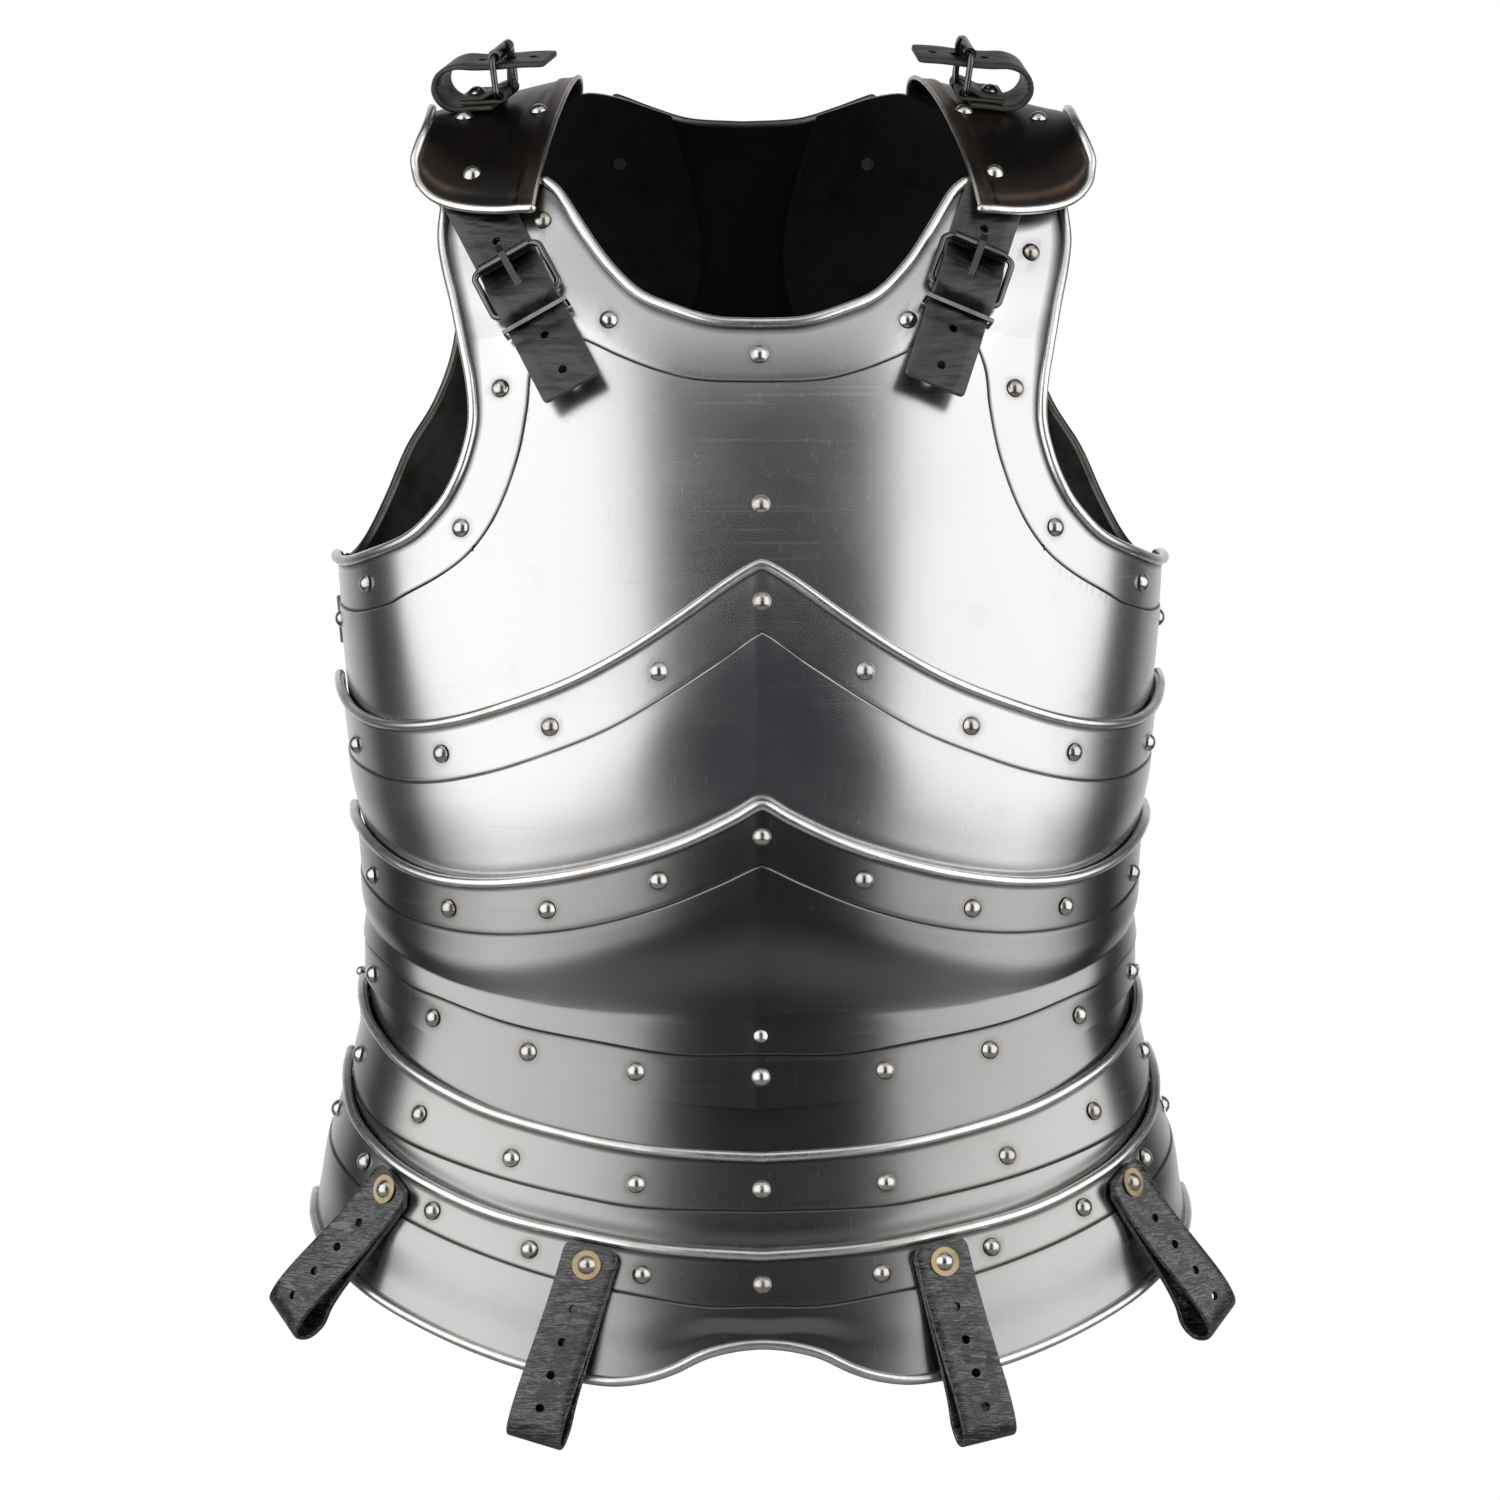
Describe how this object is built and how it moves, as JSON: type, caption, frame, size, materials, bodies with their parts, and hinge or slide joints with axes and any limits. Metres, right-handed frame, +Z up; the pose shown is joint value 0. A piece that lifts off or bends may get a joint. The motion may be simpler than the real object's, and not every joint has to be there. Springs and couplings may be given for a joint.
{
  "type": "chest armour",
  "caption": "Steel cuirass of lapping breast, back and skirt plates with shoulder caps, buckled leather straps and hanging strap loops.",
  "frame": {"origin": "middle of the line on which the armour bears on the shoulders, under the shoulder caps", "axes": "+X to the viewer's right, the front faces -Y, +Z up"},
  "size_m": [0.4359, 0.3007, 0.6191],
  "materials": {
    "polished_steel": "satin polished with fine horizontal brushing",
    "dark_steel": "blackened, smooth, rims polished bright",
    "rivet_steel": "polished",
    "buckle_steel": "dark nickel, polished",
    "strap_leather": "waxed, grey-green edges",
    "loop_leather": "waxed, worn brownish edges",
    "brass": "aged"
  },
  "bodies": {
    "cuirass": {"breastplate": "polished_steel", "breastplate_rivets": "rivet_steel", "backplate_centre": "dark_steel", "left_blade_plate": "dark_steel", "right_blade_plate": "dark_steel", "backplate_rivets": "rivet_steel", "left_shoulder_cap": "dark_steel", "right_shoulder_cap": "dark_steel", "shoulder_cap_rivets": "rivet_steel", "left_shoulder_strap": "strap_leather", "left_shoulder_chape": "strap_leather", "left_shoulder_buckle": "buckle_steel", "left_shoulder_keeper": "buckle_steel", "left_pauldron_chape": "strap_leather", "left_pauldron_billet": "strap_leather", "left_side_strap": "strap_leather", "left_side_chape": "strap_leather", "left_side_buckle": "buckle_steel", "right_shoulder_strap": "strap_leather", "right_shoulder_chape": "strap_leather", "right_shoulder_buckle": "buckle_steel", "right_shoulder_keeper": "buckle_steel", "right_pauldron_chape": "strap_leather", "right_pauldron_billet": "strap_leather", "right_side_strap": "strap_leather", "right_side_chape": "strap_leather", "right_side_buckle": "buckle_steel"},
    "upper_plackart": {"upper_plackart": "polished_steel", "upper_plackart_rivets": "rivet_steel"},
    "lower_plackart": {"lower_plackart": "polished_steel", "lower_plackart_rivets": "rivet_steel"},
    "waist_lame": {"waist_lame": "polished_steel", "waist_lame_rivets": "rivet_steel"},
    "upper_fauld": {"upper_fauld_lame": "polished_steel", "upper_fauld_rivets": "rivet_steel"},
    "lower_fauld": {"lower_fauld_lame": "polished_steel", "lower_fauld_rivets": "rivet_steel", "loop_rivets": "rivet_steel", "loop_washers": "brass"},
    "upper_culet": {"upper_culet_lame": "dark_steel", "upper_culet_rivets": "rivet_steel"},
    "lower_culet": {"lower_culet_lame": "dark_steel", "lower_culet_rivets": "rivet_steel"},
    "left_outer_loop": {"left_outer_loop": "loop_leather"},
    "left_inner_loop": {"left_inner_loop": "loop_leather"},
    "right_inner_loop": {"right_inner_loop": "loop_leather"},
    "right_outer_loop": {"right_outer_loop": "loop_leather"},
    "left_shoulder_roller": {"left_shoulder_roller": "buckle_steel"},
    "left_shoulder_prong": {"left_shoulder_prong": "buckle_steel"},
    "left_pauldron_buckle": {"left_pauldron_buckle": "buckle_steel"},
    "left_pauldron_roller": {"left_pauldron_roller": "buckle_steel"},
    "left_pauldron_prong": {"left_pauldron_prong": "buckle_steel"},
    "left_side_prong": {"left_side_prong": "buckle_steel"},
    "right_shoulder_roller": {"right_shoulder_roller": "buckle_steel"},
    "right_shoulder_prong": {"right_shoulder_prong": "buckle_steel"},
    "right_pauldron_buckle": {"right_pauldron_buckle": "buckle_steel"},
    "right_pauldron_roller": {"right_pauldron_roller": "buckle_steel"},
    "right_pauldron_prong": {"right_pauldron_prong": "buckle_steel"},
    "right_side_prong": {"right_side_prong": "buckle_steel"}
  },
  "joints": [
    {"name": "upper_plackart_hinge", "type": "hinge", "parent": "cuirass", "child": "upper_plackart", "pos_m": [0, -0.04417, -0.28144], "axis": [-1, 0, 0], "range_deg": [0, 1]},
    {"name": "lower_plackart_hinge", "type": "hinge", "parent": "upper_plackart", "child": "lower_plackart", "pos_m": [0, -0.04763, -0.3403], "axis": [-1, 0, 0], "range_deg": [0, 1.5]},
    {"name": "waist_lame_hinge", "type": "hinge", "parent": "lower_plackart", "child": "waist_lame", "pos_m": [0, -0.04059, -0.38597], "axis": [-1, 0, 0], "range_deg": [0, 0.8]},
    {"name": "upper_fauld_hinge", "type": "hinge", "parent": "waist_lame", "child": "upper_fauld", "pos_m": [0, -0.03539, -0.42301], "axis": [-1, 0, 0], "range_deg": [0, 5]},
    {"name": "lower_fauld_hinge", "type": "hinge", "parent": "upper_fauld", "child": "lower_fauld", "pos_m": [0, -0.02004, -0.44981], "axis": [-1, 0, 0], "range_deg": [0, 4]},
    {"name": "upper_culet_hinge", "type": "hinge", "parent": "cuirass", "child": "upper_culet", "pos_m": [0, 0.02221, -0.40229], "axis": [1, 0, 0], "range_deg": [0, 5]},
    {"name": "lower_culet_hinge", "type": "hinge", "parent": "upper_culet", "child": "lower_culet", "pos_m": [0, 0.02289, -0.44289], "axis": [1, 0, 0], "range_deg": [0, 5]},
    {"name": "left_outer_loop_swing", "type": "hinge", "parent": "lower_fauld", "child": "left_outer_loop", "pos_m": [-0.1619, -0.09474, -0.47692], "axis": [-0.6828, -0.6938, 0.229], "range_deg": [-6, 20]},
    {"name": "left_inner_loop_swing", "type": "hinge", "parent": "lower_fauld", "child": "left_inner_loop", "pos_m": [-0.07516, -0.14608, -0.50291], "axis": [-0.224, -0.9464, 0.2325], "range_deg": [-4, 13]},
    {"name": "right_inner_loop_swing", "type": "hinge", "parent": "lower_fauld", "child": "right_inner_loop", "pos_m": [0.07845, -0.14515, -0.50241], "axis": [0.2364, -0.9434, 0.2327], "range_deg": [-10, 9]},
    {"name": "right_outer_loop_swing", "type": "hinge", "parent": "lower_fauld", "child": "right_outer_loop", "pos_m": [0.16364, -0.09265, -0.4759], "axis": [0.6959, -0.679, 0.2338], "range_deg": [-20, 10]},
    {"name": "left_shoulder_roller_spin", "type": "hinge", "parent": "cuirass", "child": "left_shoulder_roller", "pos_m": [-0.11129, -0.08837, -0.06361], "axis": [-0.8703, 0.053, -0.4896], "continuous": true},
    {"name": "left_shoulder_prong_lift", "type": "hinge", "parent": "cuirass", "child": "left_shoulder_prong", "pos_m": [-0.10097, -0.09893, -0.0831], "axis": [0.8703, -0.053, 0.4896], "range_deg": [0, 4]},
    {"name": "left_pauldron_buckle_tilt", "type": "hinge", "parent": "cuirass", "child": "left_pauldron_buckle", "pos_m": [-0.11105, -0.01208, 0.01328], "axis": [-0.281, -0.919, -0.2765], "range_deg": [0, 8]},
    {"name": "left_pauldron_roller_spin", "type": "hinge", "parent": "left_pauldron_buckle", "child": "left_pauldron_roller", "pos_m": [-0.11329, -0.01674, 0.03104], "axis": [-0.281, -0.919, -0.2765], "continuous": true},
    {"name": "left_pauldron_prong_tilt", "type": "hinge", "parent": "cuirass", "child": "left_pauldron_prong", "pos_m": [-0.11105, -0.01208, 0.01328], "axis": [0.281, 0.919, 0.2765], "range_deg": [0, 5]},
    {"name": "left_side_prong_lift", "type": "hinge", "parent": "cuirass", "child": "left_side_prong", "pos_m": [-0.17283, 0.05957, -0.22845], "axis": [0.08, -0.0485, -0.9956], "range_deg": [0, 3]},
    {"name": "right_shoulder_roller_spin", "type": "hinge", "parent": "cuirass", "child": "right_shoulder_roller", "pos_m": [0.09828, -0.09004, -0.05871], "axis": [-0.9231, -0.0613, 0.3797], "continuous": true},
    {"name": "right_shoulder_prong_lift", "type": "hinge", "parent": "cuirass", "child": "right_shoulder_prong", "pos_m": [0.09047, -0.10027, -0.07935], "axis": [0.9231, 0.0613, -0.3797], "range_deg": [0, 4]},
    {"name": "right_pauldron_buckle_tilt", "type": "hinge", "parent": "cuirass", "child": "right_pauldron_buckle", "pos_m": [0.0951, -0.01206, 0.0153], "axis": [-0.0992, 0.9443, 0.3139], "range_deg": [0, 8]},
    {"name": "right_pauldron_roller_spin", "type": "hinge", "parent": "right_pauldron_buckle", "child": "right_pauldron_roller", "pos_m": [0.09745, -0.01763, 0.03279], "axis": [-0.0992, 0.9443, 0.3139], "continuous": true},
    {"name": "right_pauldron_prong_tilt", "type": "hinge", "parent": "cuirass", "child": "right_pauldron_prong", "pos_m": [0.0951, -0.01206, 0.0153], "axis": [0.0992, -0.9443, -0.3139], "range_deg": [0, 5]},
    {"name": "right_side_prong_lift", "type": "hinge", "parent": "cuirass", "child": "right_side_prong", "pos_m": [0.17283, 0.05957, -0.22845], "axis": [0.08, 0.0485, 0.9956], "range_deg": [0, 3]}
  ]
}
